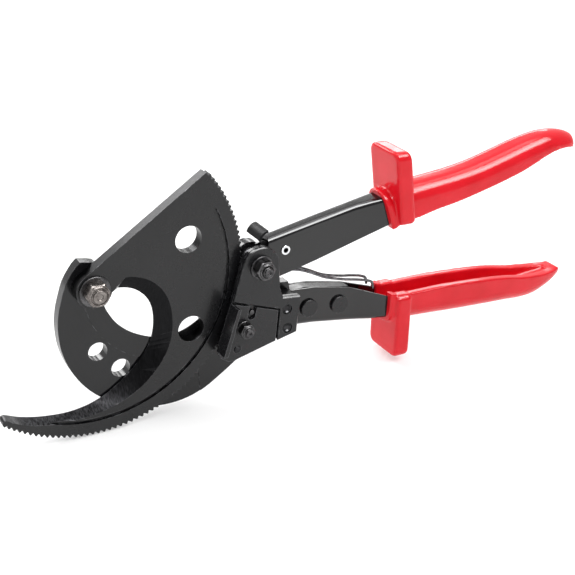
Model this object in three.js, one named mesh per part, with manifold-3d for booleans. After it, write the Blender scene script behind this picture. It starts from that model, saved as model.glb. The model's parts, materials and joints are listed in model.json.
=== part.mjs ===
// Ratcheting cable cutter: a fixed jaw and lower handle, a toothed hook blade, and an upper
// handle whose pawl walks the blade round one tooth at a time.
// Millimetres. The blade pivot is the origin of the layout, X runs along the tool towards the
// grips, and Z is its thickness. At z = 0 the blade slides on the jaw. The last lines stand the
// finished tool on its lower edge, with its front to -Y and the origin under the middle of its box.
import * as THREE from 'three';
import { mergeVertices } from 'three/addons/utils/BufferGeometryUtils.js';
import Module from 'manifold-3d';

const wasm = await Module();
wasm.setup();

// ---------------------------------------------------------------- driving dimensions

const FIT = 0.15;                      // gap left between two pieces that touch
const PLATE = 6;                       // thickness of the blade and of the jaw
const bladePivot = [0, 0];
const handlePivot = [85.2, -0.4];
const drivePawlPivot = [101, 4.6];
const leverPivot = [76.5, -33];

// Layers through the thickness, from back to front.
const layer = {
  jaw: [-FIT - PLATE, -FIT],
  blade: [FIT, FIT + PLATE],
  holdingPawl: [1.95, 6.15],
  drivePawl: [3.45, 5.65],
  channel: [0.1, 9],
  frame: [9.2, 11.1],
  lever: [11.3, 12.9],
  cover: [11.3, 13.2],
};

const tooth = { tipRadius: 78, depth: 1.25, pitch: 2.2, first: 39.4, count: 76 };
const eyeRadius = 9;
const topEdgeAngle = 34.9;
const windowDiameter = 14;
const groove = { inner: 68.8, outer: 70.8, depth: 1.2, from: -112, to: 27 };
const bevelLand = 0.5;
const bushRadius = 5.4;

const channelSheet = 1.5;
const gripSkin = 2.4;                  // plastic outside the sheet steel
const gripLining = 1.2;                // plastic inside the sheet steel
const gripLip = 1.8;                   // plastic past the open edges of the steel

// Bolts, back to front: head under the jaw, shank, washer, lock nut with a plain collar.
const bolts = {
  blade: {
    at: bladePivot, shank: 3.9, head: 7, headHeight: 4.4, seat: layer.blade[1],
    washer: 7.8, washerHeight: 1, nut: 6.4, nutHeight: 4.7, collar: 5, end: 13.7,
  },
  handle: {
    at: handlePivot, shank: 2.7, head: 5.6, headHeight: 3.4, seat: layer.cover[1],
    washer: 6.2, washerHeight: 1, nut: 5.5, nutHeight: 4.6, collar: 3.8, end: 21.6,
  },
  lever: {
    at: leverPivot, shank: 2.4, head: 4.6, headHeight: 3, seat: layer.lever[1],
    washer: 4.4, washerHeight: 0.8, nut: 4.3, nutHeight: 3.6, collar: 3.2, end: 19.8,
  },
};

// ---------------------------------------------------------------- materials

function material(color, roughness, metalness) {
  return new THREE.MeshStandardMaterial({ color, roughness, metalness });
}

const blackPaint = () => material(0x17171a, 0.32, 0.3);
const blackenedSteel = () => material(0x2b2b2e, 0.45, 0.8);
const bronzeSteel = () => material(0x8b8178, 0.35, 1);
const brightSteel = () => material(0xc9ccd0, 0.25, 1);
const redPlastic = () => material(0xc4121f, 0.28, 0);

// ---------------------------------------------------------------- solid helpers

function toSolid(geometry) {
  const bare = geometry.clone();
  bare.deleteAttribute('normal');
  bare.deleteAttribute('uv');
  const welded = mergeVertices(bare, 1e-4);
  return new wasm.Manifold(new wasm.Mesh({
    numProp: 3,
    vertProperties: Float32Array.from(welded.attributes.position.array),
    triVerts: Uint32Array.from(welded.index.array),
  }));
}

function toMesh(name, solid, paint) {
  const { vertProperties, triVerts } = solid.getMesh();
  const geometry = new THREE.BufferGeometry();
  geometry.setAttribute('position', new THREE.BufferAttribute(vertProperties, 3));
  geometry.setIndex(new THREE.BufferAttribute(triVerts, 1));
  geometry.computeVertexNormals();
  const mesh = new THREE.Mesh(geometry, paint);
  mesh.name = name;
  return mesh;
}

const radians = (degrees) => THREE.MathUtils.degToRad(degrees);

function polar([x, y], radius, degrees) {
  return [x + radius * Math.cos(radians(degrees)), y + radius * Math.sin(radians(degrees))];
}

// Points of an arc, both ends included.
function arc(centre, radius, from, to, steps) {
  const at = (i) => polar(centre, radius, from + (to - from) * i / steps);
  return Array.from({ length: steps + 1 }, (_, i) => at(i));
}

// Points of a smooth curve through the given points.
function smooth(points, steps) {
  const curve = new THREE.SplineCurve(points.map(([x, y]) => new THREE.Vector2(x, y)));
  return curve.getSpacedPoints(steps).map((p) => [p.x, p.y]);
}

function outline(points) {
  return new THREE.Shape(points.map(([x, y]) => new THREE.Vector2(x, y)));
}

// A flat plate, with a small chamfer on its front and back edges.
function plate(points, [back, front], chamfer = 0) {
  const geometry = new THREE.ExtrudeGeometry(outline(points), {
    depth: front - back - 2 * chamfer,
    bevelEnabled: chamfer > 0,
    bevelThickness: chamfer,
    bevelSize: chamfer,
    bevelOffset: -chamfer,
    bevelSegments: 1,
  });
  return toSolid(geometry.translate(0, 0, back + chamfer));
}

// A round bar along Z.
function bar([x, y], radius, [back, front], sides = 32) {
  const geometry = new THREE.CylinderGeometry(radius, radius, front - back, sides);
  geometry.rotateX(Math.PI / 2);
  return toSolid(geometry.translate(x, y, (back + front) / 2));
}

function hexagon(centre, radius, zRange) {
  return bar(centre, radius, zRange, 6);
}

// A solid whose outline changes from one set of points to another of the same number.
function loft(rings) {
  const count = rings[0].length;
  const positions = rings.flat(2);
  const triangles = [];
  for (let r = 0; r + 1 < rings.length; r += 1) {
    for (let i = 0; i < count; i += 1) {
      const next = (i + 1) % count;
      const a = r * count + i;
      const b = r * count + next;
      triangles.push(a, b, b + count, a, b + count, a + count);
    }
  }
  return { positions, triangles, count };
}

// Closes both ends of a loft. The flat ends are triangulated in the plane of two axes.
function capped(rings, u, v) {
  const { positions, triangles, count } = loft(rings);
  const flat = (ring) => ring.map((p) => new THREE.Vector2(p[u], p[v]));
  const last = (rings.length - 1) * count;
  for (const [a, b, c] of THREE.ShapeUtils.triangulateShape(flat(rings[0]), [])) {
    triangles.push(c, b, a);
  }
  for (const [a, b, c] of THREE.ShapeUtils.triangulateShape(flat(rings.at(-1)), [])) {
    triangles.push(last + a, last + b, last + c);
  }
  const geometry = new THREE.BufferGeometry();
  geometry.setAttribute('position', new THREE.Float32BufferAttribute(positions, 3));
  geometry.setIndex(triangles);
  return toSolid(geometry);
}

// A solid between two outlines at two heights; both run anticlockwise seen from the front.
function between(lower, upper, [back, front]) {
  const ring = (points, z) => points.map(([x, y]) => [x, y, z]);
  return capped([ring(lower, back), ring(upper, front)], 0, 1);
}

function turned(solid, [x, y], degrees) {
  return solid.translate([-x, -y, 0]).rotate([0, 0, degrees]).translate([x, y, 0]);
}

// ---------------------------------------------------------------- moving blade

const tipAngle = tooth.first - tooth.pitch * (tooth.count - 1);

function toothedRim() {
  const rim = [];
  const root = tooth.tipRadius - tooth.depth;
  for (let i = 0; i < tooth.count; i += 1) {
    const angle = tooth.first - i * tooth.pitch;
    rim.push(polar(bladePivot, root, angle + 0.85));
    rim.push(polar(bladePivot, tooth.tipRadius, angle + 0.45));
    rim.push(polar(bladePivot, tooth.tipRadius, angle));
    rim.push(polar(bladePivot, root, angle - 1));
  }
  return rim;
}

// The cutting edge, from the hook's tip round to the eye.
const cuttingEdge = smooth([
  [-46.2, -58.2], [-38, -61.8], [-27.5, -64.3], [-15, -65.4], [-5, -64.2], [3, -61.5],
  [11, -56.7], [19, -50.3], [26, -42.5], [30.6, -34], [32, -24], [30.5, -15], [26, -8.3],
  [19.5, -4.2], [11.3, -2.8],
], 56);

// Where the ground bevel meets the front face.
const bevelEdge = smooth([
  [-46.6, -58.4], [-38, -63.2], [-27, -66.2], [-15, -67.5], [-5, -67.1], [5, -65.3],
  [15, -61.8], [24, -56.2], [32, -48], [37.6, -38.5], [39.8, -28], [39, -16], [35, -6.5],
  [28, 0.4], [19, 4], [12.5, 3.9],
], 56);

function movingBlade() {
  const corner = Math.sqrt(tooth.tipRadius ** 2 - eyeRadius ** 2) - 1.2;
  const tangent = polar(bladePivot, eyeRadius, topEdgeAngle + 90);
  const topCorner = polar(tangent, corner, topEdgeAngle);
  const hookTip = arc(polar(bladePivot, 76, tipAngle - 1.6), 1.9, tipAngle, tipAngle - 150, 6);
  const eye = arc(bladePivot, eyeRadius, -17, topEdgeAngle + 90 - 360, 24);
  const edge = cuttingEdge.slice(1);
  const points = [topCorner, ...toothedRim(), ...hookTip, ...edge, ...eye];
  return plate(points.reverse(), layer.blade)
    .subtract(bladeBevel())
    .subtract(ring(groove, [layer.blade[1] - groove.depth, layer.blade[1] + 1]))
    .subtract(bar([48.4, 18.2], windowDiameter / 2, [-1, 8]))
    .subtract(bar([50, -30.5], windowDiameter / 2, [-1, 8]))
    .subtract(bar(bladePivot, bushRadius + FIT, [-1, 8]));
}

// The ground face runs from a narrow land at the back up to the bevel line in front.
function bladeBevel() {
  const [back, front] = layer.blade;
  const mouth = [[8.7, -2.3], [5, -16], [-12, -40], [-42, -55]];
  const low = [...cuttingEdge.slice(0, -1), ...mouth];
  const high = [...bevelEdge.slice(0, -1), ...mouth];
  return between(low, high, [back + bevelLand, front])
    .add(between(high, high, [front - 0.001, front + 1]));
}

function ring({ inner, outer, from, to }, zRange) {
  const points = [
    ...arc(bladePivot, outer, from, to, 48),
    ...arc(bladePivot, inner, to, from, 48),
  ];
  return plate(points, zRange);
}

// ---------------------------------------------------------------- fixed jaw with its tang

const jawEdge = smooth([
  [6.4, -8], [7.2, -12.5], [9.7, -17.5], [12.8, -22.1], [16.6, -25.9], [20.3, -28.7],
  [25.1, -31.4], [31, -33.8], [38, -35.2], [46, -34.4], [54, -31.2], [61, -26.2], [67.4, -19],
  [72, -11],
], 40);

const jawBevelEdge = smooth([
  [2.4, -8], [3, -13.5], [5.2, -19.6], [8.9, -25.7], [13.6, -31], [18.6, -35], [24, -38.2],
  [31, -41], [38.6, -42.2], [48, -41.4], [57, -37.4], [64, -31.4], [70.4, -23.4], [74.4, -14],
], 40);

const tangTop = [[103, -17.8], [108.9, -18.3], [110, -23.8], [119, -23.5], [129, -25.2]];
const tangEnd = [[146.6, -28.3], [145.2, -44]];

function fixedJaw() {
  const outer = smooth([
    [-4.4, 13], [-6.5, 11.1], [-8.6, 8.2], [-11.9, 2.7], [-14, -3.9], [-15.8, -11], [-16.6, -20],
    [-15, -33], [-10.2, -45], [-3, -55.4], [6, -63.4], [17, -69.4], [28, -73.4], [39, -75],
    [50, -74.2], [60, -70.8], [70, -64.6], [79, -58.2],
  ], 52);
  const points = [
    ...outer,
    [88, -53], [104, -45.2], [112, -40.9],
    ...tangEnd.toReversed(), ...tangTop.toReversed(),
    ...arc(handlePivot, 8.6, -28, 172, 20),
    ...jawEdge.toReversed(),
    ...arc(bladePivot, 10, -20, 40, 8),
    [3.4, 11.4], [0.4, 12.2],
  ];
  const through = [layer.jaw[0] - 1, layer.jaw[1] + 1];
  return plate(points, layer.jaw)
    .subtract(jawBevel())
    .subtract(jawRelief())
    .subtract(bar([3, -36], 4.9, through))
    .subtract(bar([14.7, -47.7], 4.9, through))
    .subtract(holesFor([bladePivot], bolts.blade.shank, through))
    .subtract(holesFor([handlePivot], bolts.handle.shank, through))
    .subtract(holesFor([leverPivot], bolts.lever.shank, through))
    .subtract(holesFor(frameRivets, rivetShank.frame, through))
    .subtract(holesFor(handleRivets, rivetShank.handle, through));
}

// The jaw is ground on its back face, so that its edge lies where the blade slides.
function jawBevel() {
  const [back, front] = layer.jaw;
  const mouth = [[60, -4], [36, 0], [12, 0]];
  const low = [...jawBevelEdge, ...mouth];
  const high = [...jawEdge, ...mouth];
  return between(low, high, [back, front - bevelLand])
    .add(between(low, low, [back - 1, back + 0.001]));
}

// Outside a band along the edge the jaw's face is set back a little.
function jawRelief() {
  const [, front] = layer.jaw;
  const band = smooth([
    [-3.6, -7.5], [-2, -14], [0.6, -21], [5.2, -28.4], [11.6, -35.4], [20, -41.4], [30, -45.4], [42, -47],
    [56, -44],
  ], 28);
  const points = [...band, [60, -90], [-60, -90], [-60, 60], [10, 60], [4, 6]];
  return plate(points.reverse(), [front - 0.3, front + 1]);
}

// ---------------------------------------------------------------- frame, cover and spacer

const frameRivets = [[101.2, -27], [101.7, -38]];
const handleRivets = [[121.1, -35.3], [140, -36.8]];
const rivetShank = { frame: 2.2, handle: 3.2 };
const stopPin = [80.9, -24.9];
const tiePin = [72.9, -44.1];

function holesFor(centres, radius, zRange) {
  return centres.map((centre) => bar(centre, radius + FIT, zRange)).reduce((a, b) => a.add(b));
}

// The round top and the foot are the same on both plates.
const plateTop = arc(handlePivot, 10.4, -6, 160, 22);
const plateFoot = [[107.4, -41.3], [108.8, -21], [98.6, -20], [96.6, -14]];

function framePlate() {
  const points = [
    ...plateTop, [70.6, -16.6], [64.4, -40.6], [64.8, -43.6], [69, -48.6], [70.8, -49.6],
    ...plateFoot,
  ];
  const window = arcSlot(tiePin, leverPivot, 2.6, -2, 12);
  return plate(points, layer.frame)
    .subtract(holesFor([handlePivot], bolts.handle.shank, [0, 20]))
    .subtract(holesFor([leverPivot], bolts.lever.shank, [0, 20]))
    .subtract(holesFor([stopPin], stopPinRadius, [0, 20]))
    .subtract(holesFor(frameRivets, rivetShank.frame, [0, 20]))
    .subtract(plate(window, [0, 20]));
}

// The outline of a slot that lets a pin swing about a centre.
function arcSlot(pin, centre, halfWidth, from, to) {
  const [dx, dy] = [pin[0] - centre[0], pin[1] - centre[1]];
  const reach = Math.hypot(dx, dy);
  const start = THREE.MathUtils.radToDeg(Math.atan2(dy, dx));
  const [a, b] = [start + from, start + to];
  return [
    ...arc(centre, reach + halfWidth, a, b, 6),
    ...arc(polar(centre, reach, b), halfWidth, b, b + 180, 8).slice(1),
    ...arc(centre, reach - halfWidth, b, a, 6).slice(1),
    ...arc(polar(centre, reach, a), halfWidth, a + 180, a + 360, 8).slice(1, -1),
  ];
}

// The cover is open at its lower left, where the release lever shows.
function coverPlate() {
  const points = [...plateTop, [70.2, -17], [97.2, -26.3], [96.2, -44], ...plateFoot];
  const sweep = [0, 2, 4, 6].map((swing) => turned(leverBlank(0.25), leverPivot, swing));
  const leverRoom = sweep.reduce((a, b) => a.add(b));
  return plate(points, layer.cover, 0.4)
    .subtract(leverRoom)
    .subtract(holesFor([handlePivot], bolts.handle.shank, [0, 20]))
    .subtract(holesFor(frameRivets, rivetShank.frame, [0, 20]))
    .subtract(holesFor(frameRivets, 2.7, [12.3, 20]));
}

function spacerBlock() {
  const points = [[97.2, -21.4], [108.4, -22.2], [107, -40.6], [97.6, -43.2]];
  return plate(points.reverse(), [0, layer.frame[0] - FIT])
    .subtract(holesFor(frameRivets, rivetShank.frame, [-1, 12]));
}

function stackedBar(centre, steps) {
  return steps.map(([radius, back, front]) => bar(centre, radius, [back, front]))
    .reduce((a, b) => a.add(b));
}

// Through the jaw, spacer, frame and cover, with its front end sunk in the cover.
function frameRivet(centre) {
  const back = layer.jaw[0] - FIT;
  return stackedBar(centre, [
    [rivetShank.frame, back - 1, 12.6], [3.4, back - 1.3, back], [2.65, 12.45, 12.8],
  ]);
}

// Through both cheeks of the lower channel and the jaw's tang between them.
function handleRivet(centre) {
  const half = 4.8 + FIT;
  const [back, front] = [lowerMiddle - half, lowerMiddle + half];
  return stackedBar(centre, [
    [rivetShank.handle, back - 1, front + 1], [5, back - 1.5, back], [5, front, front + 1.5],
  ]);
}

// ---------------------------------------------------------------- release lever, holding pawl

const leverSlot = { at: [80.95, -24.6], angle: 78.7, halfWidth: 2.2 };
const stopPinRadius = 1.3;
const tiePinRadius = 2;

// The lever's flat plate; grow makes the room that it sweeps.
function leverBlank(grow = 0) {
  const points = [
    [69.4 - grow, -18 + grow], [96 + grow, -26.6 + grow], [95 + grow, -44 - grow],
    [71.4, -50.2 - grow], [68, -50.3 - grow], [63.8 - grow, -47.4], [61.8 - grow, -43.4],
  ];
  return plate(points.reverse(), [layer.lever[0] - grow, layer.lever[1] + grow]);
}

function releaseLever() {
  const flange = [[69.4, -18], [71, -18.5], [64.2, -43.4], [61.8, -43.4]];
  return leverBlank()
    .add(plate(flange.reverse(), [layer.lever[0], 20]))
    .subtract(plate(radialSlot(leverSlot, 4.2, 9), [0, 30]))
    .subtract(holesFor([tiePin], tiePinRadius, [0, 30]))
    .subtract(holesFor([leverPivot], bolts.lever.shank, [0, 30]));
}

function radialSlot({ at, angle, halfWidth }, below, above) {
  const along = (d) => polar(at, d, angle);
  const side = angle - 90;
  return [
    polar(along(above), halfWidth, side),
    polar(along(above), halfWidth, side + 180),
    ...arc(along(-below + halfWidth), halfWidth, side + 180, side + 360, 10),
  ];
}

// Its nose rests just outside the teeth and stops the blade from turning back.
function holdingPawl() {
  const rim = (radius, degrees) => polar(bladePivot, tooth.tipRadius + radius, degrees);
  const points = [
    rim(0.25, -34), rim(2.6, -35), ...arc(tiePin, 3.5, -140, -30, 6),
    ...arc(leverPivot, 4.7, -50, 175, 14), rim(0.5, -27.5), rim(0.4, -30.5),
  ];
  return plate(points, layer.holdingPawl)
    .subtract(holesFor([leverPivot], bolts.lever.shank, [0, 10]))
    .subtract(holesFor([tiePin], tiePinRadius, [0, 10]));
}

function tiePinBar() {
  return bar(tiePin, tiePinRadius, [layer.holdingPawl[0], layer.lever[1] + 0.5]);
}

// ---------------------------------------------------------------- drive pawl and thumb tab

const pawlPinRadius = 1.9;

// Its nose rests just outside the teeth and pushes the blade round.
function drivePawl() {
  const rim = (radius, degrees) => polar(bladePivot, tooth.tipRadius + radius, degrees);
  const points = [
    rim(0.25, -16.6), [77.2, -21.7], [80.8, -20.9], [85, -18.8], [90.4, -14.4], [95, -8.4],
    ...arc(drivePawlPivot, 5.2, -80, 150, 16), [94.6, 2.6], [92.8, -3.4], [88.4, -10.2],
    [83.6, -14.4], [79.4, -17.2], rim(0.5, -13.2),
  ];
  return plate(points, layer.drivePawl)
    .subtract(holesFor([drivePawlPivot], pawlPinRadius, [0, 10]));
}

// A bent strip: it rises from the channel's mouth and curls back over the web.
function thumbTab() {
  const top = smooth([[86.4, 11.4], [87.4, 13.4], [88.9, 15], [90.6, 15.8], [92, 15.9]], 10);
  const under = smooth([[92, 14.5], [90.7, 14.4], [89.5, 13.6], [88.5, 12.4], [87.8, 10.8]], 10);
  const strip = plate([...top, ...under].reverse(), [-6.4, 7]);
  const arm = [
    [87.8, 10.8], [86.4, 11.4], [88.6, 8.9], [91.4, 7.9], [96.2, 4.4], [97.6, 2], [101, 0.9],
    [104.4, 2.4], [104.6, 6.4], [101, 8.4], [97, 8], [91.6, 9.5], [89.4, 11],
  ];
  return strip
    .add(plate(arm.reverse(), [6.3, 7.1]))
    .subtract(holesFor([drivePawlPivot], pawlPinRadius, [0, 10]));
}

// A hollow rivet through both cheeks of the upper channel.
function pawlPin() {
  const [back, front] = layer.channel;
  return stackedBar(drivePawlPivot, [
    [pawlPinRadius, back - 0.5, front + 0.5],
    [2.5, back - 0.6, back - FIT], [2.5, front + FIT, front + 0.6],
  ]).subtract(bar(drivePawlPivot, 1.2, [back - 2, front + 2], 24));
}

// ---------------------------------------------------------------- handles

// Each station: place along X, back of the channel, open edge, depth over the sheet.
const upperStations = [
  [91.2, 11.9, -11.1, 8.9], [104, 14.6, -8.2, 8.9], [120, 18, -4.2, 8.9], [142, 22.2, 2.2, 9.6],
  [151, 23.6, 5.2, 11.2], [160, 24.8, 8.4, 13.2], [170, 26, 11.6, 15.2], [180, 27.2, 14, 16.6],
  [190, 28.2, 16.4, 16.8], [204, 29.8, 18.8, 16.8], [218, 32.2, 22, 16.8],
  [232, 35.8, 25.6, 16.8], [246, 39.8, 29.8, 16.8], [256, 42.2, 33.8, 16.6],
];

const lowerStations = [
  [110, -44.5, -23.2, 9.6], [124, -45.6, -24, 9.6], [146, -48.7, -28.4, 9.6],
  [153, -49.5, -30.9, 11], [160, -50.3, -33.5, 13], [170, -51, -37.2, 15],
  [180, -51.6, -38.6, 16.4], [190, -52.2, -38.8, 16.8], [204, -53, -38.8, 16.8],
  [218, -53.9, -39.4, 16.8], [232, -54.6, -40.2, 16.8], [246, -55.2, -41.4, 16.8],
  [256, -55.6, -42.8, 16.6],
];

// The grips go on past the steel.
const upperGripTail = [
  [266, 44, 37.6, 15.4], [275, 44, 39.2, 13.6], [281.5, 42.8, 38.8, 11.2], [286, 41, 38, 7.6],
];
const lowerGripTail = [
  [266, -56.4, -44.6, 16], [276, -56.2, -45.6, 15], [285, -54, -46.2, 13],
  [292, -50.8, -46, 10.2], [297, -47.8, -45.4, 6.4],
];

// A rounded U, as points in Y and Z. grow is added outside; round is the fold's radius.
function uSection([x, backLine, openLine, depth], middle, grow, round, openGrow) {
  const out = Math.sign(backLine - openLine);
  const half = depth / 2 + grow;
  const spine = backLine + out * grow;
  const edge = openLine - out * openGrow;
  const radius = Math.min(round, half - 0.2, Math.abs(spine - edge) - 0.2);
  const corner = (side, from, to) => {
    const at = (i) => radians(from + (to - from) * i / 5);
    const one = (i) => [
      x,
      spine - out * radius * (1 - Math.cos(at(i))),
      middle + side * (half - radius + radius * Math.sin(at(i))),
    ];
    return Array.from({ length: 6 }, (_, i) => one(i));
  };
  return [
    [x, edge, middle - half], ...corner(-1, 90, 0), ...corner(1, 0, 90), [x, edge, middle + half],
  ];
}

function uBody(stations, middle, grow, round, openGrow) {
  const rings = stations.map((station) => uSection(station, middle, grow, round, openGrow));
  const flips = stations[0][1] > stations[0][2];
  return capped(flips ? rings : rings.map((r) => r.toReversed()), 1, 2);
}

function stretch(stations, startBy, endBy) {
  const first = [...stations[0]];
  const last = [...stations.at(-1)];
  first[0] -= startBy;
  last[0] += endBy;
  return [first, ...stations, last];
}

function channel(stations, middle) {
  const hollow = uBody(stretch(stations, 1, 1), middle, -channelSheet, 1.6, 4);
  return uBody(stations, middle, 0, 2.8, 0).subtract(hollow);
}

// Steel that the plastic has to clear, a little larger than the channel.
function channelRoom(stations, middle) {
  const hollow = uBody(stretch(stations, 2, 0), middle, -channelSheet - FIT, 1.4, 4);
  return uBody(stretch(stations, 1, FIT), middle, FIT, 2.95, FIT).subtract(hollow);
}

const upperMiddle = (layer.channel[0] + layer.channel[1]) / 2;
const lowerMiddle = (layer.jaw[0] + layer.jaw[1]) / 2;

// The web stops short of the pivot, and a round lug on each cheek goes on round it.
function upperChannel() {
  const [back, front] = layer.channel;
  const cheeks = [[back, back + channelSheet], [front - channelSheet, front]];
  const neck = [
    [92, 9], ...arc(handlePivot, 6.4, 84, 262, 12), [92, -10.4],
  ];
  const lugs = cheeks.map((zRange) => plate(neck, zRange)).reduce((a, b) => a.add(b));
  return channel(upperStations, upperMiddle)
    .add(lugs)
    .subtract(holesFor([handlePivot], sleeveRadius, [-5, 15]))
    .subtract(holesFor([drivePawlPivot], pawlPinRadius, [-5, 15]));
}

function lowerChannel() {
  return channel(lowerStations, lowerMiddle)
    .subtract(holesFor(handleRivets, rivetShank.handle, [lowerMiddle - 10, lowerMiddle + 10]));
}

// ---------------------------------------------------------------- grips

const guardDepth = 27;
const guardThickness = 9.6;

// A guard plate across the grip. x is its near face at the first y; lean is how x goes with y.
function guard({ x, y: [foot, top], lean }, middle) {
  const out = Math.sign(top - foot);
  const half = guardDepth / 2;
  const round = 4.2;
  const corner = (side, from, to) => arc([top - out * round, side * (half - round)], round, from, to, 5);
  const rim = out > 0
    ? [[foot, -half + 2], [foot + 2, -half], ...corner(-1, -90, 0), ...corner(1, 0, 90),
      [foot + 2, half], [foot, half - 2]]
    : [[foot, half - 2], [foot - 2, half], ...corner(1, 90, 180), ...corner(-1, 180, 270),
      [foot - 2, -half], [foot, -half + 2]];
  const centre = (foot + top) / 2;
  const ringAt = (dx, inset) => rim.map(([y, z]) => {
    const py = centre + (y - centre) * (1 - inset / Math.abs(top - centre));
    const pz = z * (1 - inset / half);
    return [x + dx + lean * (py - foot), py, middle + pz];
  });
  return capped([
    ringAt(0, 1.4), ringAt(1.4, 0), ringAt(guardThickness - 1.4, 0), ringAt(guardThickness, 1.4),
  ], 1, 2);
}

// start is the first station under the plastic; the mouth is cut along a slanted line.
function grip({ stations, tail, start, mouth, guardAt }, middle) {
  const outer = uBody([...stations.slice(start), ...tail], middle, gripSkin, 6, gripLip);
  const inside = [...stations.slice(start - 1), ...tail.slice(0, 2)];
  const hollow = uBody(inside, middle, -channelSheet - gripLining, 1.2, 8);
  const [[x0, y0], [x1, y1]] = mouth;
  const ahead = plate([[x0 - 40, y0], [x0, y0], [x1, y1], [x1 - 40, y1]].reverse(), [-40, 40]);
  return outer
    .subtract(ahead)
    .add(guard(guardAt, middle))
    .subtract(hollow)
    .subtract(channelRoom(stations, middle));
}

const upperGrip = {
  stations: upperStations,
  tail: upperGripTail,
  start: 4,
  mouth: [[152.2, 40], [165.4, 0]],
  guardAt: { x: 165.6, y: [9.6, 50], lean: -0.158 },
};

const lowerGrip = {
  stations: lowerStations,
  tail: lowerGripTail,
  start: 4,
  mouth: [[170.6, -20], [170.2, -60]],
  guardAt: { x: 173.6, y: [-36.4, -74.8], lean: -0.02 },
};

// ---------------------------------------------------------------- fasteners

const sleeveRadius = 4.2;

function washer({ at, shank, seat, washer: radius, washerHeight }) {
  const back = seat + FIT;
  return bar(at, radius, [back, back + washerHeight]).subtract(holesFor([at], shank, [0, 30]));
}

function lockNut({ at, shank, seat, washerHeight, nut, nutHeight, collar }) {
  const back = seat + washerHeight + 2 * FIT;
  const shoulder = back + nutHeight;
  return hexagon(at, nut, [back, shoulder])
    .add(bar(at, collar, [shoulder - 0.1, shoulder + 0.9]))
    .subtract(holesFor([at], shank, [0, 30]));
}

function boltThrough({ at, shank, head, headHeight, end }) {
  const back = layer.jaw[0] - FIT;
  return hexagon(at, head, [back - headHeight, back])
    .add(bar(at, shank, [back - 1, end - 1.1]))
    .add(bar(at, shank * 0.86, [end - 1.3, end]))
    .subtract(bar(at, shank * 0.42, [end - 0.7, end + 1], 24));
}

function sleeve(at, outer, inner, zRange) {
  return bar(at, outer, zRange).subtract(holesFor([at], inner, [-20, 20]));
}

// ---------------------------------------------------------------- springs

class WirePath extends THREE.Curve {
  constructor(points) {
    super();
    const corners = points.map((p) => new THREE.Vector3(...p));
    this.spline = new THREE.CatmullRomCurve3(corners, false, 'centripetal');
  }

  getPoint(t, target = new THREE.Vector3()) {
    return this.spline.getPoint(t, target);
  }
}

function wire(points, radius, steps) {
  const section = new THREE.Shape();
  section.absarc(0, 0, radius, 0, Math.PI * 2);
  const geometry = new THREE.ExtrudeGeometry(section, {
    steps,
    extrudePath: new WirePath(points),
    curveSegments: 3,
  });
  return toSolid(geometry);
}

// Both legs start in the lower handle, turn round the pivot sleeve and meet under the web.
function handleSpring() {
  const leg = (z, side) => [
    [162.6, -32.4, lowerMiddle + side * 3.2], [162, -29, lowerMiddle + side * 3.3],
    [158.8, -27.1, lowerMiddle + side * 3.4], [151, -24.5, z * 0.2 - 2.3 + side * 2.6],
    [142.6, -22, z * 0.5 - 1.4 + side * 1.6], [134, -19.1, z * 0.75 - 0.4 + side * 0.7],
    [126.5, -16.2, z - 0.1], [118.4, -12.2, z], [110, -8.9, z], [98, -6.9, z], [90, -6.1, z],
    ...arc(handlePivot, 5.6, 265, 60, 9).map(([x, y]) => [x, y, z]),
  ];
  const bight = [[89.9, 5.6, 5.6], [90.3, 6.1, 4.55], [89.9, 5.6, 3.5]];
  return wire([...leg(6.68, 1), ...bight, ...leg(2.42, -1).toReversed()], 0.75, 110);
}

// A small torsion spring: turns about an axis along Z, with two straight arms.
function torsionSpring({ at, radius, gauge, turns, z: [back, front], start, arms: [first, last] }) {
  const count = Math.round(turns * 10);
  const loop = Array.from({ length: count + 1 }, (_, i) => {
    const [x, y] = polar(at, radius, start - 360 * turns * i / count);
    return [x, y, back + (front - back) * i / count];
  });
  return wire([[...first, back], ...loop, [...last, front]], gauge / 2, count * 2);
}

const drivePawlSpring = {
  at: drivePawlPivot, radius: 3.2, gauge: 0.6, turns: 1.3, z: [2, 3.05], start: 200,
  arms: [[95.4, -2.6], [107.4, 9.4]],
};

const holdingPawlSpring = {
  at: leverPivot, radius: 3.5, gauge: 0.9, turns: 1.4, z: [6.8, 8.6], start: 230,
  arms: [[70.2, -40.4], [96.4, -28.6]],
};

// ---------------------------------------------------------------- assembly

const tool = new THREE.Group();

function add(name, solid, paint) {
  tool.add(toMesh(name, solid, paint()));
}

// Adds a bolt with its washer and lock nut.
function addBolt(name, size, paint) {
  add(`${name}_bolt`, boltThrough(size), paint);
  add(`${name}_washer`, washer(size), paint);
  add(`${name}_nut`, lockNut(size), paint);
}

add('fixed_jaw', fixedJaw(), blackPaint);
add('moving_blade', movingBlade(), blackPaint);
add('blade_bush', sleeve(bladePivot, bushRadius, bolts.blade.shank, layer.blade), bronzeSteel);
add('frame_plate', framePlate(), blackPaint);
add('cover_plate', coverPlate(), blackPaint);
add('spacer_block', spacerBlock(), blackPaint);
frameRivets.forEach((at, i) => add(`frame_rivet_${i + 1}`, frameRivet(at), blackenedSteel));
handleRivets.forEach((at, i) => add(`handle_rivet_${i + 1}`, handleRivet(at), blackPaint));
add('release_lever', releaseLever(), blackPaint);
add('holding_pawl', holdingPawl(), blackenedSteel);
add('lever_tie_pin', tiePinBar(), blackenedSteel);
add('lever_stop_pin', bar(stopPin, stopPinRadius, [9.3, 12.7]), bronzeSteel);
add('drive_pawl', drivePawl(), blackenedSteel);
add('thumb_tab', thumbTab(), blackPaint);
add('pawl_pin', pawlPin(), brightSteel);
add('upper_channel', upperChannel(), blackPaint);
add('lower_channel', lowerChannel(), blackPaint);
add('upper_grip', grip(upperGrip, upperMiddle), redPlastic);
add('lower_grip', grip(lowerGrip, lowerMiddle), redPlastic);
addBolt('blade_pivot', bolts.blade, bronzeSteel);
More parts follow.
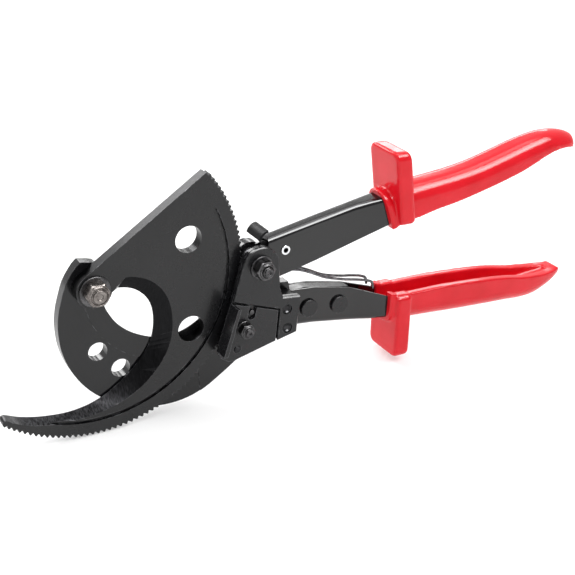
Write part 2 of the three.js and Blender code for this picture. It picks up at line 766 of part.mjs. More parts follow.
addBolt('handle_pivot', bolts.handle, blackenedSteel);
addBolt('lever_pivot', bolts.lever, blackenedSteel);
add('handle_pivot_sleeve', sleeve(handlePivot, sleeveRadius, bolts.handle.shank, [0, 9.05]), bronzeSteel);
add('handle_spring', handleSpring(), brightSteel);
add('drive_pawl_spring', torsionSpring(drivePawlSpring), brightSteel);
add('holding_pawl_spring', torsionSpring(holdingPawlSpring), brightSteel);

tool.rotation.x = Math.PI / 2;
tool.updateMatrixWorld(true);
const toolBox = new THREE.Box3().setFromObject(tool);
const middle = toolBox.getCenter(new THREE.Vector3());
tool.position.set(-middle.x, -middle.y, -toolBox.min.z);

export default tool;
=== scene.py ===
"""Looks of the ratcheting cable cutter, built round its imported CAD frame."""
import json
import math

import bmesh
import bpy
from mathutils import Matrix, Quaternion, Vector


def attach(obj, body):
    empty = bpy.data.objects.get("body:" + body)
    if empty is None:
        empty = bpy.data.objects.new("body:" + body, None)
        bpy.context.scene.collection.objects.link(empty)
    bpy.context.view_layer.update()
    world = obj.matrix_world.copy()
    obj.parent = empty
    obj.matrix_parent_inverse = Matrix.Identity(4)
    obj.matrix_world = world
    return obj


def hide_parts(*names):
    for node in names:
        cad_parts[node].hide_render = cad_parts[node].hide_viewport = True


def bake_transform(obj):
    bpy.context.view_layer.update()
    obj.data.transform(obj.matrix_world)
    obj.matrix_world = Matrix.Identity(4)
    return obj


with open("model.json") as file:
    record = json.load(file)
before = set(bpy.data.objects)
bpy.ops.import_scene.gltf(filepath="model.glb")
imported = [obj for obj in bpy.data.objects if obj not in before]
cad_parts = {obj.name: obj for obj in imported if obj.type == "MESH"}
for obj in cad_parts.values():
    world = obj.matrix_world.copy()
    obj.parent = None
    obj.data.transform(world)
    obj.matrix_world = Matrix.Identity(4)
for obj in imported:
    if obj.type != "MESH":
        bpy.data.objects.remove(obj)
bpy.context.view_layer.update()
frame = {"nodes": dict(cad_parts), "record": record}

MM = 0.001
joints = {joint["name"]: joint for joint in frame["record"]["behaviour"]["joints"]}
BLADE_PIVOT = joints["blade_swing"]["pos_m"]
PIVOT_DEPTH = 3.15

# Places in the flat layout, in millimetres. X is along the tool, Y up and Z to the front.
HANDLE_PIVOT = (85.2, -0.4)
LEVER_PIVOT = (76.5, -33)
DRIVE_PAWL_PIVOT = (101, 4.6)
FRAME_RIVETS = {"frame_rivet_1": (101.2, -27), "frame_rivet_2": (101.7, -38)}
HOOK_TIP = (-28, -66)

CAMERA_LENS = 72.46
CAMERA_PLACE = (-170.58, 235.36, 474.0)
CAMERA_TURN = (0.81866, 0.51479, -0.15263, -0.20368)


def at(x, y, z):
    """A point of the flat layout, in millimetres from the blade pivot, as a point of the frame."""
    return Vector((
        BLADE_PIVOT[0] + x * MM,
        BLADE_PIVOT[1] - (z - PIVOT_DEPTH) * MM,
        BLADE_PIVOT[2] + y * MM,
    ))


# ---------------------------------------------------------------- camera

camera_data = bpy.data.cameras.new("camera")
camera_data.sensor_width = 36.0
camera_data.lens = CAMERA_LENS
camera = bpy.data.objects.new("camera", camera_data)
bpy.context.scene.collection.objects.link(camera)
camera.location = at(*CAMERA_PLACE)
camera.rotation_mode = "QUATERNION"
camera.rotation_quaternion = Quaternion(CAMERA_TURN)
bpy.context.scene.camera = camera


# ---------------------------------------------------------------- materials

class Nodes:
    """Shorthand for building one material's node tree."""

    def __init__(self, name):
        self.material = bpy.data.materials.new(name)
        self.material.use_nodes = True
        self.tree = self.material.node_tree
        self.shader = self.tree.nodes["Principled BSDF"]
        self.place = self.add("ShaderNodeTexCoord").outputs["Object"]

    def add(self, kind, **settings):
        node = self.tree.nodes.new(kind)
        for key, value in settings.items():
            if hasattr(node, key):
                setattr(node, key, value)
            else:
                node.inputs[key].default_value = value
        return node

    def link(self, output, socket):
        self.tree.links.new(output, socket)

    def set(self, **values):
        for key, value in values.items():
            self.shader.inputs[key.replace("_", " ")].default_value = value

    def noise(self, scale, detail=3.0, stretch=None):
        """Noise over the piece; scale is in waves per metre."""
        texture = self.add("ShaderNodeTexNoise", Scale=scale, Detail=detail)
        source = self.place
        if stretch:
            mapping = self.add("ShaderNodeMapping")
            mapping.inputs["Scale"].default_value = stretch
            self.link(source, mapping.inputs["Vector"])
            source = mapping.outputs["Vector"]
        self.link(source, texture.inputs["Vector"])
        return texture.outputs["Fac"]

    def remap(self, value, low, high, start=0.3, end=0.7):
        node = self.add("ShaderNodeMapRange")
        node.inputs["From Min"].default_value = start
        node.inputs["From Max"].default_value = end
        node.inputs["To Min"].default_value = low
        node.inputs["To Max"].default_value = high
        self.link(value, node.inputs["Value"])
        return node.outputs["Result"]

    def mix(self, factor, first, second):
        node = self.add("ShaderNodeMix", data_type="RGBA")
        self.link(factor, node.inputs["Factor"])
        for socket, colour in ((node.inputs[6], first), (node.inputs[7], second)):
            if isinstance(colour, tuple):
                socket.default_value = (*colour, 1)
            else:
                self.link(colour, socket)
        return node.outputs[2]

    def bump(self, heights, depths, strength):
        """heights: outputs laid over each other. depths: how deep each one goes, in metres."""
        normal = None
        for height, depth in zip(heights, depths):
            node = self.add("ShaderNodeBump", Strength=strength, Distance=depth)
            self.link(height, node.inputs["Height"])
            if normal:
                self.link(normal, node.inputs["Normal"])
            normal = node.outputs["Normal"]
        self.link(normal, self.shader.inputs["Normal"])


# Painted highlight on sharp edges: how wide it is, and its lighter colours.
EDGE_HIGHLIGHT_WIDTH = 0.5 * MM
PAINT_EDGE_HIGHLIGHT = (0.13, 0.13, 0.138)
BLADE_EDGE_HIGHLIGHT = (0.15, 0.15, 0.16)


def painted_edge_highlight(nodes, gaps=0.46):
    """A painted highlight: 1 on sharp edges and 0 on flat faces, broken up by noise; lower gaps,
    fewer breaks.
    """
    rounded = nodes.add("ShaderNodeBevel", samples=4, Radius=EDGE_HIGHLIGHT_WIDTH)
    geometry = nodes.add("ShaderNodeNewGeometry")
    dot = nodes.add("ShaderNodeVectorMath", operation="DOT_PRODUCT")
    nodes.link(rounded.outputs["Normal"], dot.inputs[0])
    nodes.link(geometry.outputs["Normal"], dot.inputs[1])
    edge = nodes.remap(dot.outputs["Value"], 1.0, 0.0, 0.88, 0.995)
    patches = nodes.remap(nodes.noise(300.0, 4.0), 0.0, 1.0, gaps, gaps + 0.2)
    lit_edge = nodes.add("ShaderNodeMath", operation="MULTIPLY")
    nodes.link(edge, lit_edge.inputs[0])
    nodes.link(patches, lit_edge.inputs[1])
    return lit_edge.outputs["Value"]


def black_paint(name, shade, roughness, coat, gloss=0.36, gaps=0.46):
    """Sprayed enamel: a fine orange peel, and a painted highlight in lighter grey along some edges.
    """
    nodes = Nodes(name)
    cloud = nodes.remap(nodes.noise(45.0), 0.0, 1.0)
    colour = nodes.mix(cloud, (shade, shade, shade * 1.12), (shade * 1.5, shade * 1.5, shade * 1.7))
    lit_edge = painted_edge_highlight(nodes, gaps)
    nodes.link(nodes.mix(lit_edge, colour, PAINT_EDGE_HIGHLIGHT), nodes.shader.inputs["Base Color"])
    nodes.link(
        nodes.remap(nodes.noise(160.0, 5.0), roughness - 0.05, roughness + 0.06),
        nodes.shader.inputs["Roughness"],
    )
    nodes.bump([nodes.noise(700.0, 2.0), nodes.noise(2600.0, 2.0)], [0.00003, 0.00001], 0.25)
    nodes.set(Coat_Weight=coat, Coat_Roughness=0.06, Specular_IOR_Level=gloss)
    return nodes.material


def bare_metal(name, dark, light, roughness):
    """Plated or oiled steel: cloudy colour, fine scratches, and pitting."""
    nodes = Nodes(name)
    cloud = nodes.remap(nodes.noise(260.0, 5.0), 0.0, 1.0)
    nodes.link(nodes.mix(cloud, dark, light), nodes.shader.inputs["Base Color"])
    streaks = nodes.noise(900.0, 4.0, (1.0, 0.12, 1.0))
    nodes.link(
        nodes.remap(streaks, roughness - 0.09, roughness + 0.1), nodes.shader.inputs["Roughness"]
    )
    nodes.bump([streaks, nodes.noise(900.0)], [0.00002, 0.00003], 0.5)
    nodes.set(Metallic=1.0)
    return nodes.material


def red_vinyl():
    """Dipped plastisol: deep gloss over a slightly uneven, cloudy red."""
    nodes = Nodes("red_vinyl")
    cloud = nodes.remap(nodes.noise(60.0, 4.0), 0.0, 1.0)
    nodes.link(nodes.mix(cloud, (0.60, 0.005, 0.012), (0.68, 0.008, 0.018)),
               nodes.shader.inputs["Base Color"])
    nodes.link(nodes.remap(nodes.noise(130.0, 5.0), 0.13, 0.22), nodes.shader.inputs["Roughness"])
    nodes.bump([nodes.noise(55.0, 2.0), nodes.noise(620.0, 3.0)], [0.0003, 0.00002], 0.35)
    nodes.set(Coat_Weight=0.15, Coat_Roughness=0.04, Specular_IOR_Level=0.22,
              Subsurface_Weight=0.05, Subsurface_Scale=0.002)
    return nodes.material


def distance_from(nodes, axis):
    """How far a point is from an axis through the thickness."""
    offset = nodes.add("ShaderNodeVectorMath", operation="SUBTRACT")
    offset.inputs[1].default_value = axis
    nodes.link(nodes.place, offset.inputs[0])
    across = nodes.add("ShaderNodeVectorMath", operation="MULTIPLY")
    across.inputs[1].default_value = (1, 0, 1)
    nodes.link(offset.outputs["Vector"], across.inputs[0])
    length = nodes.add("ShaderNodeVectorMath", operation="LENGTH")
    nodes.link(across.outputs["Vector"], length.inputs[0])
    return length.outputs["Value"]


def eyelet_finish():
    """Bright steel round a bore painted near black as shade."""
    nodes = Nodes("eyelet_steel")
    radius = distance_from(nodes, at(*DRIVE_PAWL_PIVOT, 0))
    outside_bore_shade = nodes.remap(radius, 0.0, 1.0, 1.25 * MM, 1.5 * MM)
    cloud = nodes.remap(nodes.noise(900.0), 0.0, 1.0)
    bright = nodes.mix(cloud, (0.62, 0.63, 0.65), (0.8, 0.81, 0.82))
    # Painted shade: inside the bore the colour is near black.
    nodes.link(nodes.mix(outside_bore_shade, (0.012, 0.012, 0.012), bright), nodes.shader.inputs["Base Color"])
    nodes.link(nodes.remap(nodes.noise(1400.0), 0.2, 0.32), nodes.shader.inputs["Roughness"])
    nodes.set(Metallic=1.0)
    return nodes.material


def blade_finish():
    """Painted faces, and a dark ground bevel with fine lines, painted lighter towards the hooked
    tip as a reflection.
    """
    nodes = Nodes("blade_black")
    geometry = nodes.add("ShaderNodeNewGeometry")
    split = nodes.add("ShaderNodeSeparateXYZ")
    nodes.link(geometry.outputs["True Normal"], split.inputs["Vector"])
    flat = nodes.add("ShaderNodeMath", operation="ABSOLUTE")
    nodes.link(split.outputs["Y"], flat.inputs[0])
    ground = nodes.remap(flat.outputs["Value"], 1.0, 0.0, 0.955, 0.985)
    cloud = nodes.remap(nodes.noise(38.0), 0.0, 1.0)
    painted = nodes.mix(cloud, (0.004, 0.004, 0.0045), (0.007, 0.007, 0.008))
    lines = nodes.noise(2600.0, 3.0, (1.0, 0.2, 0.1))
    # Painted reflection: the ground bevel's colour gets lighter towards the tip.
    from_tip = distance_from(nodes, at(*HOOK_TIP, 0))
    tip_reflection = nodes.remap(from_tip, 1.0, 0.0, 12 * MM, 52 * MM)
    light = nodes.mix(tip_reflection, (0.010, 0.010, 0.011), (0.06, 0.06, 0.064))
    steel = nodes.mix(nodes.remap(lines, 0.0, 1.0, 0.35, 0.7), (0.006, 0.006, 0.0065), light)
    colour = nodes.mix(ground, painted, steel)
    nodes.link(ground, nodes.shader.inputs["Metallic"])
    # Painted highlight along the blade's sharp edges.
    lit_edge = painted_edge_highlight(nodes)
    nodes.link(nodes.mix(lit_edge, colour, BLADE_EDGE_HIGHLIGHT), nodes.shader.inputs["Base Color"])
    smooth = nodes.remap(nodes.noise(150.0, 5.0), 0.24, 0.33)
    rough = nodes.add("ShaderNodeMix", data_type="FLOAT")
    nodes.link(ground, rough.inputs["Factor"])
    nodes.link(smooth, rough.inputs["A"])
    nodes.link(nodes.remap(lines, 0.28, 0.42), rough.inputs["B"])
    nodes.link(rough.outputs["Result"], nodes.shader.inputs["Roughness"])
    scored = nodes.add("ShaderNodeMath", operation="MULTIPLY")
    nodes.link(ground, scored.inputs[0])
    nodes.link(lines, scored.inputs[1])
    nodes.bump([scored.outputs["Value"], nodes.noise(900.0, 2.0)], [0.00008, 0.00002], 0.5)
    nodes.set(Coat_Weight=0.1, Coat_Roughness=0.08, Specular_IOR_Level=0.36)
    return nodes.material


PAINT = black_paint("black_enamel", 0.0045, 0.19, 0.1)
CHANNEL_PAINT = black_paint("channel_enamel", 0.0035, 0.15, 0.3)
# The lever's edges get a painted highlight with fewer breaks.
LEVER_PAINT = black_paint("lever_enamel", 0.006, 0.25, 0.05, gaps=0.2)
PLATE_PAINT = black_paint("plate_enamel", 0.006, 0.25, 0.05)
TAB_PAINT = black_paint("tab_enamel", 0.003, 0.42, 0.0, 0.12)
BLADE = blade_finish()
DARK_STEEL = bare_metal("dark_steel", (0.035, 0.034, 0.036), (0.12, 0.118, 0.12), 0.3)
# A darker copy of the dark steel: painted shade for the recessed frame rivets and the tie pin.
SHADED_RIVET_STEEL = bare_metal("rivet_steel_shaded", (0.012, 0.012, 0.013), (0.05, 0.05, 0.052), 0.3)
BRONZE_STEEL = bare_metal("bronze_steel", (0.10, 0.088, 0.082), (0.30, 0.275, 0.26), 0.27)
SPRING_STEEL = bare_metal("spring_steel", (0.07, 0.07, 0.075), (0.2, 0.2, 0.21), 0.24)
EYELET = eyelet_finish()
RED = red_vinyl()


# ---------------------------------------------------------------- CAD pieces that stay

def dress(names, material, edge):
    """Gives CAD nodes their finish, and softens their edges by edge millimetres."""
    for name in names:
        piece = frame["nodes"][name]
        for slot in piece.material_slots:
            slot.material = material
        piece.data.attributes.remove(piece.data.attributes["custom_normal"])
        weld = piece.modifiers.new("weld", "WELD")
        weld.merge_threshold = 0.002 * MM
        flat = piece.modifiers.new("flat", "DECIMATE")
        flat.decimate_type = "DISSOLVE"
        flat.angle_limit = math.radians(0.4)
        bevel = piece.modifiers.new("edges", "BEVEL")
        bevel.width = edge * MM
        bevel.segments = 2
        bevel.limit_method = "ANGLE"
        bevel.angle_limit = math.radians(38)
        for polygon in piece.data.polygons:
            polygon.use_smooth = True
        shaded = piece.modifiers.new("shading", "WEIGHTED_NORMAL")
        shaded.keep_sharp = True
        shaded.weight = 80


dress(["fixed_jaw"], PAINT, 0.35)
dress(["moving_blade"], BLADE, 0.22)
dress(["upper_channel", "lower_channel"], CHANNEL_PAINT, 0.35)
dress(["frame_plate", "cover_plate"], PLATE_PAINT, 0.3)
dress(["release_lever"], LEVER_PAINT, 0.5)
dress(["thumb_tab", "spacer_block"], TAB_PAINT, 0.4)
dress(["drive_pawl", "holding_pawl", "lever_stop_pin"], DARK_STEEL, 0.2)
dress(["lever_tie_pin"], SHADED_RIVET_STEEL, 0.3)
dress(["handle_rivet_1", "handle_rivet_2"], PLATE_PAINT, 0.3)
dress(
    ["handle_pivot_bolt", "handle_pivot_washer", "lever_pivot_bolt", "lever_pivot_washer",
     "blade_pivot_washer"],
    DARK_STEEL, 0.3,
)
dress(["blade_bush", "blade_pivot_bolt", "handle_pivot_sleeve"], BRONZE_STEEL, 0.35)
dress(["pawl_pin"], EYELET, 0.2)


# ---------------------------------------------------------------- mesh helpers

def link_object(name, data):
    piece = bpy.data.objects.new(name, data)
    bpy.context.scene.collection.objects.link(piece)
    return piece


def capped(name, rings):
    """A closed body through rings of points, with a flat face at each end."""
    mesh = bmesh.new()
    rows = [[mesh.verts.new(at(*point)) for point in ring] for ring in rings]
    for low, high in zip(rows, rows[1:]):
        for i in range(len(low)):
            j = (i + 1) % len(low)
            mesh.faces.new((low[i], low[j], high[j], high[i]))
    mesh.faces.new(rows[0][::-1])
    mesh.faces.new(rows[-1])
    bmesh.ops.recalc_face_normals(mesh, faces=mesh.faces[:])
    data = bpy.data.meshes.new(name)
    mesh.to_mesh(data)
    mesh.free()
    return link_object(name, data)


def apply_modifiers(piece):
    """Bakes a piece's modifiers into its mesh."""
    bpy.context.view_layer.update()
    graph = bpy.context.evaluated_depsgraph_get()
    data = bpy.data.meshes.new_from_object(piece.evaluated_get(graph))
    piece.modifiers.clear()
    piece.data = data


def combine(piece, tool, operation="DIFFERENCE"):
    """Cuts the tool from a piece, or joins it on, and removes the tool."""
    step = piece.modifiers.new("cut", "BOOLEAN")
    step.operation = operation
    step.solver = "EXACT"
    step.object = tool
    apply_modifiers(piece)
    bpy.data.objects.remove(tool)


def shade(piece, material):
    piece.data.materials.clear()
    piece.data.materials.append(material)
    for polygon in piece.data.polygons:
        polygon.use_smooth = True


# ---------------------------------------------------------------- grips

# Each station: place along X, back of the channel, open edge, depth over the sheet steel.
UPPER_STATIONS = [
    (91.2, 11.9, -11.1, 8.9), (104, 14.6, -8.2, 8.9), (120, 18, -4.2, 8.9), (142, 22.2, 2.2, 9.6),
    (151, 23.6, 5.2, 11.2), (160, 24.8, 8.4, 13.2), (170, 26, 11.6, 15.2), (180, 27.2, 14, 16.6),
    (190, 28.2, 16.4, 16.8), (204, 29.8, 18.8, 16.8), (218, 32.2, 22, 16.8),
    (232, 35.8, 25.6, 16.8), (246, 39.8, 29.8, 16.8), (256, 42.2, 33.8, 16.6),
]
LOWER_STATIONS = [
    (110, -44.5, -23.2, 9.6), (124, -45.6, -24, 9.6), (146, -48.7, -28.4, 9.6),
    (153, -49.5, -30.9, 11), (160, -50.3, -33.5, 13), (170, -51, -37.2, 15),
    (180, -51.6, -38.6, 16.4), (190, -52.2, -38.8, 16.8), (204, -53, -38.8, 16.8),
    (218, -53.9, -39.4, 16.8), (232, -54.6, -40.2, 16.8), (246, -55.2, -41.4, 16.8),
    (256, -55.6, -42.8, 16.6),
]
UPPER_TAIL = [
    (266, 44, 37.6, 15.4), (275, 44, 39.2, 13.6), (281.5, 42.8, 38.8, 11.2), (286, 41, 38, 7.6),
]
LOWER_TAIL = [
    (266, -56.4, -44.6, 16), (276, -56.2, -45.6, 15), (285, -54, -46.2, 13),
    (292, -50.8, -46, 10.2), (297, -47.8, -45.4, 6.4),
]
# The hollow gets shallower and narrower towards the tip, like the bowl of a spoon.
UPPER_BOWL = [
    (232, 35.8, 25.6, 16.8), (246, 39.4, 29.8, 16.6), (256, 41, 33.8, 16), (266, 41.8, 37.6, 14.4),
    (274, 41.6, 39.2, 12),
]
LOWER_BOWL = [
    (232, -54.6, -40.2, 16.8), (246, -54.6, -41.4, 16.8), (256, -54, -42.8, 16.4),
    (266, -52.8, -44.6, 15.4), (276, -51.2, -45.6, 14), (285, -49.9, -46.2, 11.8),
    (290, -49, -46, 10.2),
]
UPPER_MIDDLE = 4.55
LOWER_MIDDLE = -3.15
SHEET = 1.5
SKIN = 2.4
LINING = 1.2
LIP = 1.8
ROUNDING = 8.6
COLLAR_BAND = 3.4
COLLAR_GROW = 0.7
GUARD_DEPTH = 27
GUARD_THICKNESS = 9.6
GUARD_ROUNDING = 4.2
VOXEL = 0.55


def curve_through(stations, steps):
    """More stations between the given ones, on a smooth curve through them."""
    ends = [stations[0], *stations, stations[-1]]
    made = []
    for a, b, c, d in zip(ends, ends[1:], ends[2:], ends[3:]):
        for i in range(steps):
            t = i / steps
            made.append(tuple(
                q + 0.5 * t * (r - p + t * (2 * p - 5 * q + 4 * r - s + t * (3 * (q - r) + s - p)))
                for p, q, r, s in zip(a, b, c, d)
            ))
    return [*made, stations[-1]]


def u_section(station, middle, grow, fold, open_grow, corner_steps=8):
    """A rounded U across the handle. grow is added outside; fold is the corner's radius."""
    x, back, edge, depth = station
    out = math.copysign(1, back - edge)
    half = depth / 2 + grow
    spine = back + out * grow
    lip = edge - out * open_grow
    radius = min(fold, half - 0.2, abs(spine - lip) - 0.2)
    ring = [(x, lip, middle - half)]
    for side in (-1, 1):
        for i in range(corner_steps + 1):
            turn = math.radians(90 * i / corner_steps)
            if side < 0:
                turn = math.pi / 2 - turn
            ring.append((
                x,
                spine - out * radius * (1 - math.cos(turn)),
                middle + side * (half - radius + radius * math.sin(turn)),
            ))
    ring.append((x, lip, middle + half))
    return ring


def u_body(name, stations, middle, grow, fold, open_grow, steps=5):
    dense = curve_through(stations, steps)
    return capped(name, [u_section(s, middle, grow, fold, open_grow) for s in dense])


def guard(name, x, foot, top, lean, middle):
    """The finger guard: a rounded plate across the grip, leaning a little."""
    out = math.copysign(1, top - foot)
    half = GUARD_DEPTH / 2
    fold = GUARD_ROUNDING
    outline = [(foot, -half + 2), (foot + 2 * out, -half)]
    for side in (-1, 1):
        for i in range(9):
            turn = math.radians(90 * i / 8)
            if side > 0:
                turn = math.pi / 2 - turn
            outline.append((
                top - out * fold * (1 - math.sin(turn)),
                side * (half - fold + fold * math.cos(turn)),
            ))
    outline += [(foot + 2 * out, half), (foot, half - 2)]
    centre = (foot + top) / 2
    reach = abs(top - centre)

    def ring_at(along, inset):
        ring = []
        for y, z in outline:
            py = centre + (y - centre) * (1 - inset / reach)
            ring.append((x + along + lean * (py - foot), py, middle + z * (1 - inset / half)))
        return ring

    return capped(name, [
        ring_at(0, 1.4), ring_at(0.5, 0.45), ring_at(1.4, 0),
        ring_at(GUARD_THICKNESS - 1.4, 0), ring_at(GUARD_THICKNESS - 0.5, 0.45),
        ring_at(GUARD_THICKNESS, 1.4),
    ])


def slab(mouth, low, high):
    """A slab across the grip, from low to high millimetres behind its slanting mouth."""
    (x0, y0), (x1, y1) = mouth
    outline = [(x0 + low, y0), (x0 + high, y0), (x1 + high, y1), (x1 + low, y1)]
    return capped("slab", [[(x, y, z) for x, y in outline] for z in (-40, 40)])


def grip(name, stations, tail, bowl, mouth, guard_at, middle):
    """One dipped grip: sleeve, collar, guard and hollow, melted into one rounded skin."""
    start = 4
    body = u_body(name, [*stations[start:], *tail], middle, SKIN, ROUNDING, LIP)
    combine(body, slab(mouth, -40, 0))
    collar_stations = stations[start:start + 4]
    collar = u_body("collar", collar_stations, middle, SKIN + COLLAR_GROW, ROUNDING, LIP + 0.5)
    combine(collar, slab(mouth, -40, 0))
    combine(collar, slab(mouth, COLLAR_BAND, 60))
    combine(body, collar, "UNION")
    combine(body, guard("guard", *guard_at, middle), "UNION")
    inside = [*(s for s in stations[start - 1:] if s[0] < bowl[0][0]), *bowl]
    combine(body, u_body("hollow", inside, middle, -SHEET - LINING, 2.4, 8))
    melt = body.modifiers.new("melt", "REMESH")
    melt.mode = "VOXEL"
    melt.voxel_size = VOXEL * MM
    soft = body.modifiers.new("soft", "SMOOTH")
    soft.factor = 0.5
    soft.iterations = 12
    apply_modifiers(body)
    shade(body, RED)
    return body


upper_grip = grip(
    "upper_grip_vinyl", UPPER_STATIONS, UPPER_TAIL, UPPER_BOWL,
    [(152.2, 40), (165.4, 0)], (165.6, 9.6, 50, -0.158), UPPER_MIDDLE,
)
lower_grip = grip(
    "lower_grip_vinyl", LOWER_STATIONS, LOWER_TAIL, LOWER_BOWL,
    [(170.6, -20), (170.2, -60)], (173.6, -36.4, -74.8, -0.02), LOWER_MIDDLE,
)
for piece, node, body in (
    (upper_grip, "upper_grip", "upper_handle"), (lower_grip, "lower_grip", "frame"),
):
    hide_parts(node)
    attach(piece, body)


# ---------------------------------------------------------------- lock nuts and rivets

TURNED_SIDES = 72


def turned(name, centre, profile, material, hexagon=None):
    """A turned piece through (z, radius) pairs; hexagon is the corner radius it is cut back to."""
    rings = []
    for z, radius in profile:
        ring = []
        for i in range(TURNED_SIDES):
            turn = 2 * math.pi * i / TURNED_SIDES
            reach = radius
            if hexagon:
                off = math.radians(math.degrees(turn) % 60 - 30)
                reach = min(radius, hexagon * math.cos(math.radians(30)) / math.cos(off))
            ring.append((centre[0] + reach * math.cos(turn), centre[1] + reach * math.sin(turn), z))
        rings.append(ring)
    piece = capped(name, rings)
    shade(piece, material)
    soft = piece.modifiers.new("edges", "BEVEL")
    soft.width = 0.12 * MM
    soft.segments = 2
    soft.limit_method = "ANGLE"
    soft.angle_limit = math.radians(25)
    shaded = piece.modifiers.new("shading", "WEIGHTED_NORMAL")
    shaded.keep_sharp = True
    return piece


def lock_nut(node, centre, back, height, corner, collar, bore, material):
    """A hexagon with turned-down corners, and the rolled collar that holds its nylon ring."""
    top = back + height
    nut = turned(node + "_hex", centre, [
        (back, corner * 0.9), (back + 0.45, corner), (top - 0.75, corner),
        (top - 0.05, corner * 0.88), (top, collar + 0.1), (top + 0.45, collar),
        (top + 0.75, collar - 0.12),
        (top + 0.9, collar - 0.42), (top + 0.85, collar - 0.75), (top + 0.45, bore + 0.25),
        (top + 0.3, bore + 0.1),
    ], material, hexagon=corner)
    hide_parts(node)
    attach(nut, "frame")


lock_nut("blade_pivot_nut", (0, 0), 7.45, 4.7, 6.4, 5.0, 3.9, BRONZE_STEEL)
lock_nut("handle_pivot_nut", HANDLE_PIVOT, 14.5, 4.6, 5.5, 3.95, 2.7, DARK_STEEL)
lock_nut("lever_pivot_nut", LEVER_PIVOT, 14.0, 3.6, 4.3, 3.3, 2.4, DARK_STEEL)

for rivet_node, rivet_centre in FRAME_RIVETS.items():
    # Their darker steel is painted shade for the recess.
    rivet = turned(rivet_node + "_dished", rivet_centre, [
        (-7.6, 2.8), (-7.4, 3.3), (-6.4, 3.4), (-6.3, 2.2), (12.4, 2.2), (12.45, 2.6),
        (12.72, 2.6), (12.8, 2.4), (12.75, 2.15), (12.0, 1.5), (11.9, 0.5),
    ], SHADED_RIVET_STEEL)
    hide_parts(rivet_node)
    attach(rivet, "frame")


# ---------------------------------------------------------------- springs

def around(centre, radius, start, end, steps):
    """Points round a centre, from one angle to another, in degrees."""
    made = []
    for i in range(steps + 1):
        turn = math.radians(start + (end - start) * i / steps)
        made.append((centre[0] + radius * math.cos(turn), centre[1] + radius * math.sin(turn)))
    return made


def wire(name, points, radius):
    """A round wire on a smooth curve through points."""
    curve = bpy.data.curves.new(name, "CURVE")
    curve.dimensions = "3D"
    curve.bevel_depth = radius * MM
    curve.bevel_resolution = 4
    curve.use_fill_caps = True
    spline = curve.splines.new("POLY")
    dense = curve_through([tuple(p) for p in points], 4)
    spline.points.add(len(dense) - 1)
    for point, where in zip(spline.points, dense):
        point.co = (*at(*where), 1)
    piece = link_object(name, curve)
    bpy.context.view_layer.update()
    graph = bpy.context.evaluated_depsgraph_get()
    data = bpy.data.meshes.new_from_object(piece.evaluated_get(graph))
    bpy.data.objects.remove(piece)
    made = link_object(name, data)
    shade(made, SPRING_STEEL)
    return made


def spring_leg(z, side):
    """One leg, from inside the lower handle up and round the pivot's sleeve at depth z."""
    low = LOWER_MIDDLE
    return [
        (162.6, -32.4, low + side * 3.2), (162, -29, low + side * 3.3),
        (158.8, -27.1, low + side * 3.4), (151, -24.5, z * 0.2 - 2.3 + side * 2.6),
        (142.6, -22, z * 0.5 - 1.4 + side * 1.6), (134, -19.1, z * 0.75 - 0.4 + side * 0.7),
        (126.5, -16.2, z - 0.1), (118.4, -12.2, z), (110, -8.9, z), (98, -6.9, z), (90, -6.1, z),
        *((x, y, z) for x, y in around(HANDLE_PIVOT, 5.6, 265, 60, 9)),
    ]


bight = [(89.9, 5.6, 5.6), (90.3, 6.1, 4.55), (89.9, 5.6, 3.5)]
handle_spring = wire(
    "handle_spring_wire", [*spring_leg(6.68, 1), *bight, *reversed(spring_leg(2.42, -1))], 0.75
)
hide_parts("handle_spring")
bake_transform(handle_spring)


def torsion_spring(name, node, body, centre, radius, gauge, turns, back, front, start, first, last):
    """A coil with two straight ends; back and front are the depths of its first and last turn."""
    count = round(turns * 16)
    loop = [
        (x, y, back + (front - back) * i / count)
        for i, (x, y) in enumerate(around(centre, radius, start, start - 360 * turns, count))
    ]
    made = wire(name, [(*first, back), *loop, (*last, front)], gauge / 2)
    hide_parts(node)
    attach(made, body)


torsion_spring("drive_pawl_spring_wire", "drive_pawl_spring", "upper_handle", DRIVE_PAWL_PIVOT,
               3.2, 0.6, 1.3, 2.0, 3.05, 200, (95.4, -2.6), (107.4, 9.4))
torsion_spring("holding_pawl_spring_wire", "holding_pawl_spring", "frame", LEVER_PIVOT,
               3.5, 0.9, 1.4, 6.8, 8.6, 230, (70.2, -40.4), (96.4, -28.6))


# ---------------------------------------------------------------- floor and light

floor_finish = Nodes("floor_white")
floor_finish.set(Base_Color=(0.6, 0.6, 0.6, 1), Roughness=0.9,
                 Emission_Color=(1, 1, 1, 1), Emission_Strength=0.4)
bpy.ops.mesh.primitive_plane_add(size=30, location=(0, 0, -0.0005))
floor = bpy.context.object
floor.name = "floor"
floor.data.materials.append(floor_finish.material)


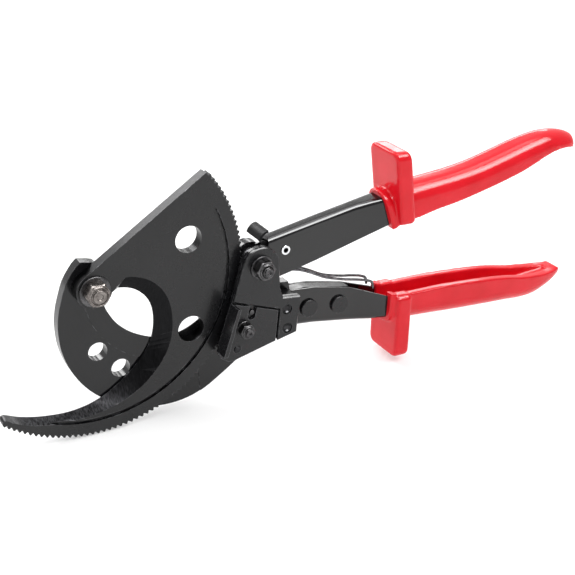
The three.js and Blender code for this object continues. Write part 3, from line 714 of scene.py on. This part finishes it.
def studio_world():
    """A white room that gets darker towards the wall in front of the tool."""
    world = bpy.data.worlds.new("studio")
    bpy.context.scene.world = world
    world.use_nodes = True
    tree = world.node_tree
    direction = tree.nodes.new("ShaderNodeTexCoord").outputs["Generated"]
    split = tree.nodes.new("ShaderNodeSeparateXYZ")
    tree.links.new(direction, split.inputs["Vector"])
    level = tree.nodes.new("ShaderNodeMapRange")
    level.interpolation_type = "SMOOTHSTEP"
    level.inputs["From Min"].default_value = -0.45
    level.inputs["From Max"].default_value = 0.25
    level.inputs["To Min"].default_value = 0.4
    level.inputs["To Max"].default_value = 0.8
    tree.links.new(split.outputs["Y"], level.inputs["Value"])
    tree.links.new(level.outputs["Result"], tree.nodes["Background"].inputs["Strength"])
    tree.nodes["Background"].inputs["Color"].default_value = (1, 1, 1, 1)


studio_world()
bpy.context.scene.view_settings.view_transform = "Standard"


def softbox(name, place, target, size, power, diffuse=True):
    """An area light. Without diffuse it only shows in reflections."""
    data = bpy.data.lights.new(name, "AREA")
    data.shape = "RECTANGLE"
    data.size, data.size_y = size
    data.energy = power
    lamp = bpy.data.objects.new(name, data)
    bpy.context.scene.collection.objects.link(lamp)
    lamp.location = place
    lamp.visible_diffuse = diffuse
    aim = Vector(target) - Vector(place)
    lamp.rotation_mode = "QUATERNION"
    lamp.rotation_quaternion = aim.to_track_quat("-Z", "Y")


softbox("overhead", (0.0, 0.2, 1.1), (0, 0, 0.05), (1.2, 0.4), 5.0)
softbox("right_front", (0.34, -0.55, 1.03), (0.05, 0, 0.07), (0.9, 0.3), 7.0)
softbox("sheen_card", (0.27, -0.5, 1.06), (0.05, 0, 0.08), (1.3, 0.6), 30.0, diffuse=False)
softbox("left_front", (-1.0, -0.5, 0.8), (0, 0, 0.07), (0.5, 0.4), 3.7)
softbox("back_low", (0.35, 1.0, 0.5), (0.05, 0, 0.08), (1.2, 0.15), 3.0)
softbox("back_high", (-0.25, 0.95, 0.75), (0.0, 0, 0.08), (0.6, 0.3), 6.0)
